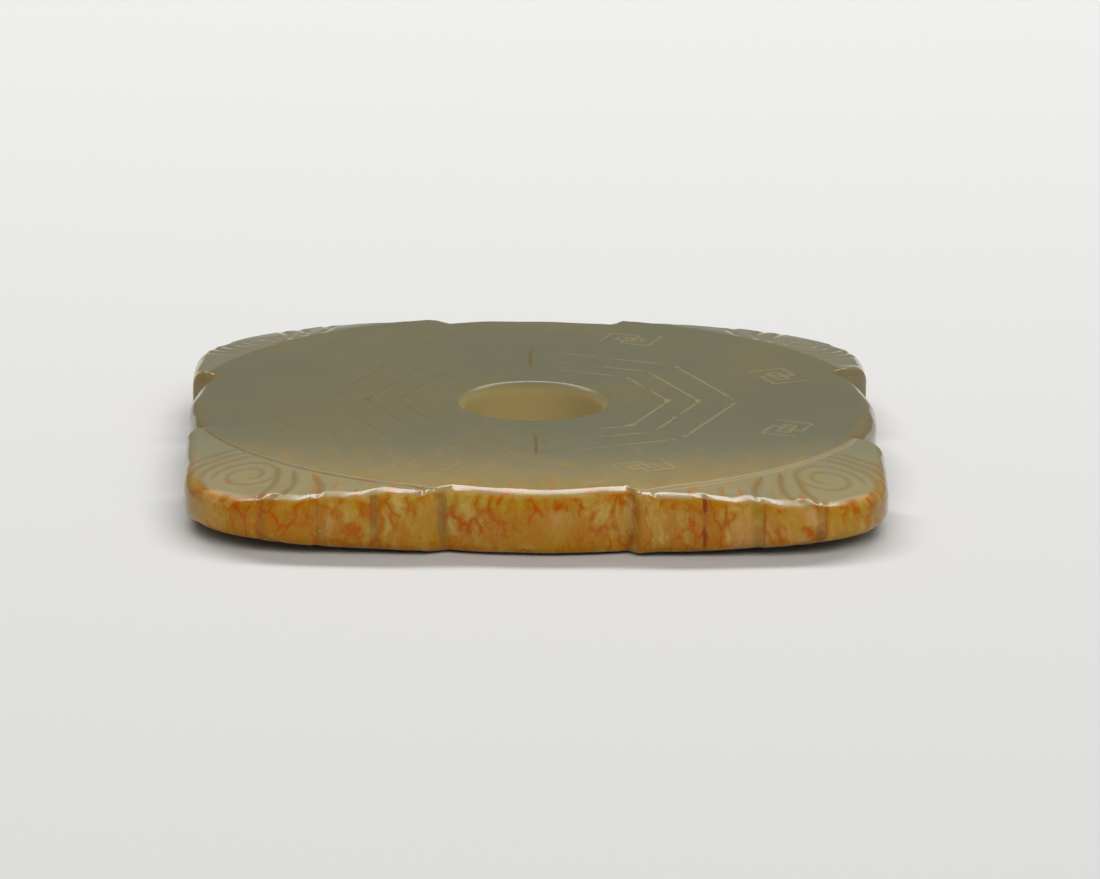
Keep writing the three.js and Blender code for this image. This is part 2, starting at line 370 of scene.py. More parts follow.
def droopAt(angle):
    # How much lower than its own fall the upper face lies at its edge
    local, corner = fromSide(angle), cornerOf(angle)
    along = (stone["half"] - stone["edgeRound"]) / np.tan(np.maximum(local, 0.1))
    nearby = np.abs(along[..., None] + np.linspace(-1, 1, 7) * stone["droopBlend"])
    droop = np.zeros_like(local)
    for index, droops in droopsByCorner.items():
        places, depths = zip(*droops)
        droop = np.where(corner == index, np.interp(nearby, places, depths).mean(-1), droop)
    start, run = stone["droopStart"]
    return droop * smooth((local - start) / run)


def roundingAt(angle, side):
    # Where the face ends and its rounded edge begins, in each direction from the middle. Where
    # that direction meets the edge aslant, the edge's width is longer
    share, half = cornerShare(angle), stone["half"]
    outer = cornerEdge(angle)
    discRound = stone["discRounds"][side]
    growth = cornerEdge(angle + nearStep) - cornerEdge(angle - nearStep)
    slant = share * growth / (2 * nearStep * outer)
    longer = np.sqrt(1 + slant ** 2)
    widest = (outer - half) * stone["narrowEdge"] / longer
    size = np.clip(widest, stone["leastRound"], stone["edgeRound"])
    size = discRound + (size - discRound) * share
    long, short = stone["roundWaves"]
    size *= 1 + long * np.sin(13 * angle + 1) * np.sin(5 * angle) + short * np.sin(31 * angle + 2)
    cut, top, _ = cutBack(angle)
    lean = top if side > 0 else 0 * top
    droop = droopAt(angle) if side > 0 else 0 * top
    outline = half + (outer - half) * share - cut
    fall = faceFall(outline - size * longer - lean, angle, side)
    droop = np.maximum(droop, stone["leastFall"] - fall)
    size = np.minimum(size, stone["thickness"] / 2 - stone["leastWall"] - (fall + droop))
    shoulder = outline - size * longer - lean
    return {"shoulder": shoulder, "height": size, "width": size * longer, "lean": lean,
            "droop": droop, "slant": slant, "fall": faceFall(shoulder, angle, side) + droop}


def edgeProfile(angle, side):
    # The rounded edge with all that follows from it: its length, its wall's end, and the skew that
    # keeps the facet's slope where the face falls along the edge
    edge = roundingAt(angle, side)
    shoulder, slant = edge["shoulder"], edge["slant"]
    after, before = [roundingAt(angle + turn, side)["fall"] for turn in (nearStep, -nearStep)]
    steepness = (after - before) / (2 * nearStep)
    skew = np.clip(steepness * slant / (1 + slant ** 2) / shoulder, *stone["skewLimits"])
    arc = turnLength * edge["height"] * np.sqrt((2 + slant ** 2) / 2)
    foot = edge["fall"] + edge["height"] + skew * edge["width"]
    run = np.maximum((shoulder - stone["half"]) * stone["droopRun"], stone["leastRun"])
    end = shoulder + arc + stone["thickness"] / 2 - foot
    return edge | {"skew": skew, "arc": arc, "run": run, "end": end}


def faceFall(radius, angle, side):
    # How far the face lies inside the disc's own
    half, step, drop = stone["half"], stone["steps"][side], stone["tipDrops"][side]
    fall = np.asarray(stone["falls"][side])[cornerOf(angle)]
    share = np.maximum(0, radius - half) / (cornerTip(angle) - half)
    near = step * smooth((radius - half) / stone["stepWide"])
    near += fall * smooth((radius - half) / stone["fallWide"])
    far = cornerShare(angle) * (drop - step - fall) * share ** stone["pillow"]
    return stepShare(angle) * near + far


def swellAt(plan, side):
    # The slight unevenness of the faces
    total = np.zeros(len(plan))
    for i, (one, _, way) in enumerate(swellPhases):
        pitch = 0.16 + 0.07 * i
        along = plan[:, 0] * pitch * math.cos(way) + plan[:, 1] * pitch * math.sin(way)
        total += np.sin(along + one + side)
    return stone["swell"] * (1 - np.tanh(total / 3)) / 2


def liftPoints(plan, depth, side):
    # From the plan, which goes on, unrolled, over the rounded edge and into the hole, to places in
    # space. Also gives how far round the edge and into the hole each point lies
    reach = np.hypot(plan[:, 0], plan[:, 1])
    angle = np.arctan2(plan[:, 1], plan[:, 0])
    edge = edgeProfile(angle, side)
    rim = stone["bore"] + stone["boreRound"]
    rimArc = quarter * stone["boreRound"]
    onEdge = np.clip((reach - edge["shoulder"]) / edge["arc"], 0, 1)
    facetStart, facetRun = stone["facetStart"]
    facet = smooth((fromSide(angle) - facetStart) / facetRun)
    even = onEdge * quarter
    shapes = (turnAngle, even), (turnOut, np.sin(even)), (turnDown, 1 - np.cos(even))
    outTurn, out, down = [facet * np.interp(onEdge, turnShare, table) + (1 - facet) * plain
                          for table, plain in shapes]
    inTurn = np.clip((rim - reach) / rimArc, 0, 1) * quarter
    flat = np.clip(reach, rim, edge["shoulder"])
    radius = flat + edge["width"] * out
    radius -= stone["boreRound"] * np.sin(inTurn)
    wall = edge["end"] - edge["shoulder"] - edge["arc"]
    radius += edge["lean"] * smooth((reach - edge["shoulder"] - edge["arc"]) / wall)
    natural = faceFall(flat, angle, side)
    drooped = natural + edge["droop"] * smooth(1 + (flat - edge["shoulder"]) / edge["run"])
    fall = np.maximum(drooped, np.minimum(natural, stone["leastFall"]))
    fall += edge["height"] * down + edge["skew"] * edge["width"] * out
    fall += stone["boreRound"] * (1 - np.cos(inTurn))
    fall += np.maximum(0, reach - edge["shoulder"] - edge["arc"])
    fall += np.maximum(0, rim - rimArc - reach)
    outward, upward = edge["height"] * np.sin(outTurn), edge["width"] * np.cos(outTurn)
    length = np.hypot(outward, upward)
    outward = outward / length - np.sin(inTurn)
    upward = upward / length * np.cos(inTurn)
    depth = depth + swellAt(plan, side) * upward
    radius = radius - depth * outward
    fall = fall + depth * upward
    height = stone["thickness"] - fall if side > 0 else fall
    places = np.stack([radius * np.cos(angle), radius * np.sin(angle), height], 1)
    return places, outTurn / quarter, inTurn / quarter


# Carved lines
carving = {
    "station": 0.23,  # from one row of points across a line to the next
    "sample": 0.045,
    "bank": 0.12,  # from a line's side to the bare stone's points
    "taper": (0.35, 0.9),  # width share at a line's end, and how far it takes to grow to 1
    "baseDisc": 0.8,  # spacing of the points between the lines
    "baseCorner": 0.42,
    "columnTurn": 0.01,  # radians from one point to the next round the edge
    "notchSpots": (1.3, 1.5),  # how far round a notch the points are closer, at side and end
    "notchColumn": 0.12,
    "fluteColumns": (0.1, 0.17),  # in narrow and in wide flutes
    "leastColumn": 0.06,
    "boreColumns": 150,
    "edgeRows": (0.0, 0.035, 0.07, 0.14, 0.22, 0.3, 0.38, 0.47, 0.57, 0.7, 0.85, 1.0),
    "wallRows": (0.36, 0.7),
    "boreRows": (0, 0.25, 0.5, 0.75, 1),
    "guides": (0.25, 0.3),  # rows on the face beside its outer and its inner edge
    "clearShoulder": 0.35,
    "clearRim": 0.5,
    "clearLine": (0.7, 0.3),  # free of base points inside and outside the disc's line
    "clearEnd": 0.12,
}
# The least room round a point of each sort, in the order in which they are placed
room = {"floor": 0.06, "flank": 0.065, "lip": 0.075, "bank": 0.1, "edge": 0.062, "guide": 0.12,
        "corner": 0.27, "disc": 0.4}
# Each kind of line: half width, depth, stain, softness, lost polish
kinds = {
    "disc": (0.27, 0.05, 0.5, 1.0, 1.3),
    "tick": (0.2, 0.07, 0.9, 1.0, 1.0),
    "bar": (0.17, 0.035, 0.55, 1.0, 1.0),
    "fret": (0.15, 0.03, 0.45, 1.0, 1.0),
    "scroll": (0.34, 0.05, 0.4, 1.2, 0.2),
    "echo": (0.46, 0.065, 0.36, 1.2, 0.0),
    "stroke": (0.45, 0.07, 0.5, 1.4, 0.1),
}
# From the inside out, whole lines are 1 and broken lines are 0, clockwise from the left front
trigrams = [(1, 1, 1), (0, 1, 0), (0, 0, 1), (1, 0, 0), (0, 1, 1), (1, 0, 1), (0, 0, 0), (1, 1, 0)]
bars = {"radii": (10.0, 12.3, 15.1), "lengths": (7.0, 9.0, 10.6), "gap": 1.5, "first": 202.5}
ticks = [(-90, 10.7, 16.3), (90, 10.7, 16.3)]
fret = {
    "radius": 21.6,
    "paths": [
        [(-2.1, 1.35), (-2.1, -1.35), (0.3, -1.35), (0.3, 0.5), (-1.1, 0.5), (-1.1, -0.45),
         (-0.5, -0.45)],
        [(2.1, -1.35), (2.1, 1.35), (-0.3, 1.35), (-0.3, -0.5), (1.1, -0.5), (1.1, 0.45),
         (0.5, 0.45)],
    ],
}
scroll = {
    "direction": 43.0,  # degrees from the side axis
    "share": 0.9,  # of the room between the disc's line and the corner's edge
    "hook": 0.3,  # the innermost radius beside the outermost
    "turns": 1.75,
    "echoPitch": 1.02,
    "echoes": 3,
    "echoSpan": (35, -190),  # degrees
    "echoOver": 0.55,  # share of the rounded edge that the echoes go down
    "echoClear": (0.3, 0.02),  # free of echoes at the disc's line, and at the notch in radians
    "echoLeast": 12,  # degrees
}
# Strokes from the disc's line over the edge: share of the turn from the scroll to the notch, and
# share of the way from the disc's line to the shoulder
strokes = [
    [(0.275, 0.12), (0.395, 0.54), (0.436, 1.0), (0.45, 1.35)],
    [(0.161, 0.12), (0.262, 0.5), (0.30, 0.95), (0.285, 1.3)],
    [(0.07, 0.14), (0.155, 0.45), (0.21, 0.8), (0.24, 1.2)],
]


def alongPath(points, spacing):
    # Evenly spaced points of a path, how far along it each lies, and its length
    points = np.asarray(points, float)
    lengths = np.hypot(*np.diff(points, axis=0).T)
    total = np.concatenate([[0], np.cumsum(lengths)])
    count = max(2, int(round(total[-1] / spacing)) + 1)
    steps = np.linspace(0, total[-1], count)
    return np.stack([np.interp(steps, total, points[:, i]) for i in range(2)], 1), steps, total[-1]


def curved(points, steps=24):
    # A smooth curve through a few points
    points = np.asarray(points, float)
    padded = np.vstack([2 * points[0] - points[1], points, 2 * points[-1] - points[-2]])
    out = []
    for i in range(len(points) - 1):
        a, b, c, d = padded[i:i + 4]
        for t in np.linspace(0, 1, steps, endpoint=False):
            out.append(0.5 * (2 * b + (c - a) * t + (2 * a - 5 * b + 4 * c - d) * t ** 2
                              + (3 * b - a - 3 * c + d) * t ** 3))
    return np.vstack([out, points[-1]])


def planOf(angles, reach):
    return np.stack([reach * np.cos(angles), reach * np.sin(angles)], 1)


def turned(points, degrees):
    angle = math.radians(degrees)
    spin = np.array([[math.cos(angle), math.sin(angle)], [-math.sin(angle), math.cos(angle)]])
    return np.asarray(points, float) @ spin


def discLines(side):
    lines = []
    for index, pattern in enumerate(trigrams):
        centre = bars["first"] - 45 * index
        for whole, radius, length in zip(pattern, bars["radii"], bars["lengths"]):
            spans = [(-length / 2, length / 2)]
            if not whole:
                spans = [(-length / 2, -bars["gap"] / 2), (bars["gap"] / 2, length / 2)]
            for start, stop in spans:
                bar = [(radius, start), (radius, (start + stop) / 2), (radius, stop)]
                lines.append(("bar", turned(bar, centre)))
        for path in fret["paths"]:
            lines.append(("fret", turned([(fret["radius"] + y, x) for x, y in path], centre)))
    for degrees, start, stop in ticks:
        tick = [(start, 0), ((start + stop) / 2, 0.06), (stop, 0)]
        lines.append(("tick", turned(tick, degrees)))
    return [(kind, path * (side, 1)) for kind, path in lines]


def cornerLines(index, side):
    # Worked out in the corner's own frame, the side axis first, and then mirrored into place
    middle = (index + 0.5) * quarter
    mirror = cornerSigns(index)
    half = stone["half"]

    def planAngle(local):
        local = np.asarray(local, float)
        return np.arctan2(mirror[1] * np.sin(local), mirror[0] * np.cos(local))

    def reachOf(local):
        # From the middle to the shoulder
        return edgeProfile(planAngle(local), side)["shoulder"]

    lines = []
    start = math.radians(scroll["direction"])
    distance = (half + float(reachOf([start])[0])) / 2
    centre = np.array([distance * math.cos(start), distance * math.sin(start)])
    sweep = np.linspace(0.02, quarter - 0.02, 60)
    across = planOf(sweep, reachOf(sweep)) - centre
    radius = min(distance - half, np.hypot(*across.T).min()) * scroll["share"]
    share = np.linspace(0, 1, 120)
    turn = -2 * math.pi * scroll["turns"] * share
    wide = radius * (1 - (1 - scroll["hook"]) * share)
    lines.append(("scroll", centre + planOf(turn, wide)))
    atLine, atNotch = scroll["echoClear"]
    for k in range(scroll["echoes"]):
        wide = radius + scroll["echoPitch"] * (k + 1)
        turn = np.radians(np.arange(*scroll["echoSpan"], -1.0))
        path = centre + planOf(turn, wide)
        far = np.hypot(path[:, 0], path[:, 1])
        local = np.arctan2(path[:, 1], path[:, 0])
        first = notchEnds(planAngle(local))[0]
        edge = edgeProfile(planAngle(local), side)
        onFace = (far > half + atLine) & (local > first + atNotch) & (local < start + atNotch)
        onFace &= far < edge["shoulder"] + scroll["echoOver"] * edge["arc"]
        run = np.flatnonzero(onFace)
        if len(run) > scroll["echoLeast"]:
            breaks = np.flatnonzero(np.diff(run) > 1)
            stop = breaks[0] + 1 if len(breaks) else len(run)
            lines.append(("echo", path[run[:stop]]))
    endTurn = quarter - math.asin(stone["endNotches"][index] / half)
    for stroke in strokes:
        places = []
        for way, share in stroke:
            local = start + (endTurn - start) * way
            end = float(reachOf([local])[0])
            far = half + (end - half) * share
            places.append((far * math.cos(local), far * math.sin(local)))
        lines.append(("stroke", curved(places)))
    _, full, stop, _ = [float(v[0]) for v in notchEnds(np.array([middle]))]
    arc = np.linspace(full - 0.01, stop + 0.01, 200)
    lines.append(("disc", planOf(arc, half + stone["stepWide"] * 0.5)))
    return [(kind, path * mirror) for kind, path in lines]


def spaced(groups):
    # Keeps each point that has enough room, the first groups first. A grid of small squares
    # shortens the search for points nearby
    cell = 0.1
    kept, grid = [], {}

    def crowded(x, y, i, j, gap):
        near = int(math.ceil(gap / cell))
        for a in range(i - near, i + near + 1):
            for b in range(j - near, j + near + 1):
                for u, v in grid.get((a, b), ()):
                    if (u - x) ** 2 + (v - y) ** 2 < gap * gap:
                        return True
        return False

    for points, gap in groups:
        for x, y in points:
            i, j = int(math.floor(x / cell)), int(math.floor(y / cell))
            if not crowded(x, y, i, j, gap):
                grid.setdefault((i, j), []).append((x, y))
                kept.append((x, y))
    return np.array(kept)


def taperAt(kind, steps, total):
    # Each line but the disc's is narrower and shallower at its ends
    if kind == "disc":
        return np.ones(len(steps))
    least, run = carving["taper"]
    return least + (1 - least) * smooth(np.minimum(steps, total - steps) / run)


def rowsAlong(lines):
    # Points along each line: its floor, its flanks, its lips, and bare stone beside it. The
    # samples are closer together and carry the line's own size and looks
    rows = {"floor": [], "flank": [], "lip": [], "bank": []}
    samples = []
    for kind, path in lines:
        halfWidth, depth, *looks = kinds[kind]
        fine, steps, total = alongPath(path, carving["sample"])
        for place, share in zip(fine, taperAt(kind, steps, total)):
            samples.append((*place, halfWidth * share, depth * share, *looks))
        rough, steps, total = alongPath(path, carving["station"])
        taper = taperAt(kind, steps, total)[:, None]
        ahead = np.gradient(rough, axis=0)
        across = np.stack([-ahead[:, 1], ahead[:, 0]], 1) / np.hypot(*ahead.T)[:, None]
        rows["floor"].append(rough)
        for sign in (-1, 1):
            rows["flank"].append(rough + sign * 0.5 * halfWidth * taper * across)
            rows["lip"].append(rough + sign * halfWidth * taper * across)
            rows["bank"].append(rough + sign * (halfWidth * taper + carving["bank"]) * across)
    return {name: np.vstack(points) for name, points in rows.items()}, np.array(samples)


def edgeAngles():
    # Directions of the points round the edge, closer together in the notches and flutes
    half = stone["half"]
    angles = list(np.arange(0, 2 * math.pi, carving["columnTurn"]))
    atSide, atEnd = carving["notchSpots"]
    narrow, wide = carving["fluteColumns"]
    for index in range(4):
        middle = np.array([(index + 0.5) * quarter])
        first, full, stop, last = [float(v[0]) for v in notchEnds(middle)]
        spots = [((first + full) / 2, atSide, carving["notchColumn"]),
                 ((stop + last) / 2, atEnd, carving["notchColumn"])]
        for place, reach, *_ in flutesByCorner[index]:
            spots.append((math.atan2(half, place), reach, narrow if reach < 1 else wide))
        mirror = cornerSigns(index)
        for spot, reach, spacing in spots:
            for local in np.arange(spot - reach / half, spot + reach / half, spacing / half):
                angles.append(math.atan2(mirror[1] * math.sin(local), mirror[0] * math.cos(local)))
    angles = np.sort(np.mod(angles, 2 * math.pi))
    kept = [angles[0]]
    for angle in angles[1:]:
        if angle - kept[-1] > carving["leastColumn"] / half:
            kept.append(angle)
    return np.array(kept)


def hexagons(spacing, low, high):
    # A field of evenly spaced points between two distances from the middle
    rows = []
    span = stone["half"] * 1.45
    for j, y in enumerate(np.arange(-span, span, spacing * 0.866)):
        x = np.arange(-span, span, spacing) + (j % 2) * spacing / 2
        rows.append(np.stack([x, np.full(len(x), y)], 1))
    points = np.vstack(rows)
    far = np.hypot(*points.T)
    return points[(far > low(points)) & (far < high(points))]


def drawFace(side, outerAngles, innerAngles):
    # The points of one face's plan, the outline's first and the hole's next
    lines = discLines(side)
    for index in range(4):
        lines += cornerLines(index, side)
    rows, samples = rowsAlong(lines)
    half = stone["half"]
    rim = stone["bore"] + stone["boreRound"]
    rimEnd = rim - quarter * stone["boreRound"]
    innerEnd = rimEnd - (stone["thickness"] / 2 - stone["boreRound"])
    edge = edgeProfile(outerAngles, side)
    wallStart = edge["shoulder"] + edge["arc"]
    outline, hole = planOf(outerAngles, edge["end"]), planOf(innerAngles, innerEnd)
    reaches = [edge["shoulder"] + share * edge["arc"] for share in carving["edgeRows"]]
    reaches += [wallStart + share * (edge["end"] - wallStart) for share in carving["wallRows"]]
    outside, inside = carving["guides"]
    guides = [planOf(outerAngles[::2], edge["shoulder"][::2] - outside)]
    for share in carving["boreRows"]:
        guides.append(planOf(innerAngles, rim - quarter * stone["boreRound"] * share))
    guides.append(planOf(innerAngles, (rimEnd + innerEnd) / 2))
    guides.append(planOf(innerAngles, rim + inside))

    def profileOf(points):
        return edgeProfile(np.arctan2(points[:, 1], points[:, 0]), side)

    def shoulderOf(points):
        return profileOf(points)["shoulder"] - carving["clearShoulder"]

    inLine, outLine = carving["clearLine"]
    base = {
        "disc": hexagons(carving["baseDisc"], lambda p: rim + carving["clearRim"],
                         lambda p: np.minimum(half - inLine, shoulderOf(p))),
        "corner": hexagons(carving["baseCorner"], lambda p: half + outLine, shoulderOf),
        "edge": np.vstack([planOf(outerAngles, reach) for reach in reaches]),
        "guide": np.vstack(guides),
    }
    groups = [(np.vstack([outline, hole]), 0.0)]
    for name, gap in room.items():
        points = (rows | base)[name]
        clear = np.hypot(*points.T) < profileOf(points)["end"] - carving["clearEnd"]
        groups.append((points[clear], gap))
    return spaced(groups), samples, len(outline), len(hole)


def carvedDepth(plan, samples):
    # Depth, stain and lost polish of each point, from the nearest sample of a line
    tree = kdtree.KDTree(len(samples))
    for i, sample in enumerate(samples):
        tree.insert((sample[0], sample[1], 0), i)
    tree.balance()
    depth, stain, cut = np.zeros((3, len(plan)))
    for i, (x, y) in enumerate(plan):
        _, nearest, apart = tree.find((x, y, 0))
        _, _, halfWidth, deep, tone, soft, rough = samples[nearest]
        share = apart / halfWidth
        if share < 1:
            depth[i] = deep * (1 - share * share) ** soft
            stain[i] = tone * (1 - share)
            cut[i] = rough * (1 - share ** 2)
    return depth, stain, cut


def closeTriangles(plan, outerCount, innerCount, side):
    # Triangles between the points, without those outside the outline or across the hole
    loops = [(0, outerCount), (outerCount, innerCount)]
    edges = [(first + i, first + (i + 1) % count) for first, count in loops for i in range(count)]
    found = geometry.delaunay_2d_cdt([Vector(p) for p in plan], edges, [], 0, 1e-7, True)
    source = [ids[0] if ids else -1 for ids in found[3]]
    triangles = np.array([[source[v] for v in face] for face in found[2]])
    centres = plan[triangles].mean(1)
    far = np.hypot(*centres.T)
    innerOnly = ((triangles >= outerCount) & (triangles < outerCount + innerCount)).all(1)
    outerOnly = (triangles < outerCount).all(1)
    ends = edgeProfile(np.arctan2(centres[:, 1], centres[:, 0]), side)["end"]
    keep = ~innerOnly & ~(outerOnly & (far > ends - 0.01))
    return triangles[keep]


# How far each point is in a line, without polish, round the edge and in the hole
layerNames = ("stain", "cut", "edge", "bore")


def carveStone():
    # Both faces, which share the outline's and the hole's points half way down, in one mesh
    outerAngles = edgeAngles()
    innerAngles = np.arange(0, 2 * math.pi, 2 * math.pi / carving["boreColumns"])
    places, triangles = [], []
    layers = {name: [] for name in layerNames}
    shared = len(outerAngles) + len(innerAngles)
    for side in (1, -1):
        plan, samples, outerCount, innerCount = drawFace(side, outerAngles, innerAngles)
        depth, stain, cut = carvedDepth(plan, samples)
        angle = np.arctan2(plan[:, 1], plan[:, 0])
        depth[:shared] = 0
        lifted, onEdge, inBore = liftPoints(plan, depth, side)
        cut = np.maximum(cut, cutBack(angle)[2] * smooth(onEdge * 6))
        faces = closeTriangles(plan, outerCount, innerCount, side)
        if side > 0:
            offset = np.arange(len(plan))
            keep = slice(None)
        else:
            offset = np.arange(len(plan)) - shared + len(places[0])
            offset[:shared] = np.arange(shared)
            faces = faces[:, ::-1]
            keep = slice(shared, None)
        places.append(lifted[keep])
        triangles.append(offset[faces])
        for layer, values in zip(layers.values(), (stain, cut, onEdge, inBore)):
            layer.append(values[keep])
        print("face", side, "points", len(plan), "triangles", len(faces))
    mesh = bpy.data.meshes.new("carved_plaque")
    mesh.from_pydata((np.vstack(places) * mm).tolist(), [], np.vstack(triangles).tolist())
    for name, values in layers.items():
        layer = mesh.attributes.new(name, "FLOAT", "POINT")
        layer.data.foreach_set("value", np.concatenate(values).astype(np.float32))
    mesh.validate()
    plaque = bpy.data.objects.new("carved_plaque", mesh)
    bpy.context.scene.collection.objects.link(plaque)
    return plaque


print("carving")
plaque = carveStone()
bpy.ops.object.select_all(action="DESELECT")
bpy.context.view_layer.objects.active = plaque
plaque.select_set(True)
bpy.ops.object.mode_set(mode="EDIT")
bpy.ops.mesh.select_all(action="SELECT")
bpy.ops.mesh.normals_make_consistent(inside=False)
bpy.ops.object.mode_set(mode="OBJECT")
bpy.ops.object.shade_smooth()

# Jade: the tones of its face and skin, of its marks, and of the dirt in its lines, with some
# painted light and shade among them: paler lines on the right, shaded ends, shade in the flutes
# and a glowing hole
jade = {
    "celadon": (0.181, 0.160, 0.073),
    "mist": (0.160, 0.152, 0.083),
    "pale": (0.370, 0.375, 0.255),
    "warm": (0.445, 0.306, 0.093),
    "ochre": (0.42, 0.240, 0.020),
    "khaki": (0.50, 0.305, 0.035),
    "cream": (0.55, 0.390, 0.095),
    "blush": (0.61, 0.350, 0.125),
    "amber": (0.440, 0.177, 0.0),
    "thread": (0.450, 0.140, 0.0),
    "orange": (0.45, 0.108, 0.0),
    "russet": (0.48, 0.070, 0.0),
    "wine": (0.28, 0.045, 0.010),
    "bark": (0.24, 0.115, 0.020),
    "soil": (0.125, 0.078, 0.008),
    "olive": (0.26, 0.150, 0.018),
    "tan": (0.42, 0.320, 0.140),
    # darker, greyer tone of the ends: painted shade, and partly their own greyer tone
    "shadedEndSand": (0.27, 0.180, 0.070),
    "waxGlow": (0.46, 0.360, 0.150),  # inside the hole: its honey tone, partly painted lighter as painted glow of light through the stone
}
# Upright marks down the front edge, on its flutes and notches: partly stain in them, and partly
# painted shade in these hollows and along the notches' step edges. x, half width, strength, tone
marks = [
    (-21.2, 0.5, 0.4, "bark"), (-16.9, 0.16, 0.75, "bark"), (-16.4, 0.6, 0.35, "bark"),
    (-12.5, 0.45, 0.55, "bark"), (-12.8, 0.14, 0.6, "bark"), (-7.35, 0.75, 0.45, "bark"),
    (-7.6, 0.1, 0.4, "bark"), (-7.1, 0.1, 0.35, "bark"), (7.1, 0.35, 0.25, "bark"),
    (6.85, 0.07, 0.35, "bark"), (7.3, 0.07, 0.35, "bark"),
    (12.82, 0.28, 0.95, "wine"), (16.95, 0.75, 0.65, "olive"), (17.4, 0.16, 0.5, "wine"),
    (21.8, 0.8, 0.55, "bark"), (22.2, 0.16, 0.5, "wine"),
]
# Where the stone changes, in millimetres. A zone of two places goes from 0 to 1 between them,
# and one of four goes up and down again. A front zone tells how far before the middle it lies,
# and the others are places along x, unless a note says otherwise
zones = {
    "rightEnd": (11.5, 16.0),
    "leftEnd": (-27.0, -20.0),
    "rightAmber": (7.5, 9.0, 12.5, 14.5),
    "leftAmber": (-24.5, -22.5, -21.0, -18.0),
    "rightRusset": (7.0, 9.0, 13.0, 15.0),
    "leftRusset": (-25.0, -23.0, -20.5, -16.5),
    "rightLitLines": (0.0, 9.0),  # the cut lines are painted paler there, as painted light where their sides catch the lamp
    "warmFront": (13.0, 28.0),
    "paleFront": (2.0, 20.0),
    "speckledFront": (5.0, 24.0),
    "skinFront": (14.0, 22.0),
    "spillFront": (22.0, 27.5),
    "leftRear": (-24.5, -22.5),
    "rear": (5.0, 12.0),  # y
    "sides": (25.0, 27.3),  # x either way; there the ends are painted darker and greyer, as painted shade where they turn away from the light
    "corner": (735.0, 790.0),  # squared distance from the middle
    "edge": (0.08, 0.4),  # share of the rounded edge
    "bore": (0.2, 0.9),  # share of the hole's rounded rim
}
finish = {
    "roughness": 0.1,
    "unevenness": 0.06,
    "lineRoughness": 0.35,
    "boreRoughness": 0.45,
    "bump": 0.06,
    "bumpHeight": 0.05 * mm,
    "ior": 1.5,
    "specular": 0.2,
    "glow": 0.25,  # light that goes through the stone's surface
    "glowReach": (1.0, 0.6, 0.25),
}


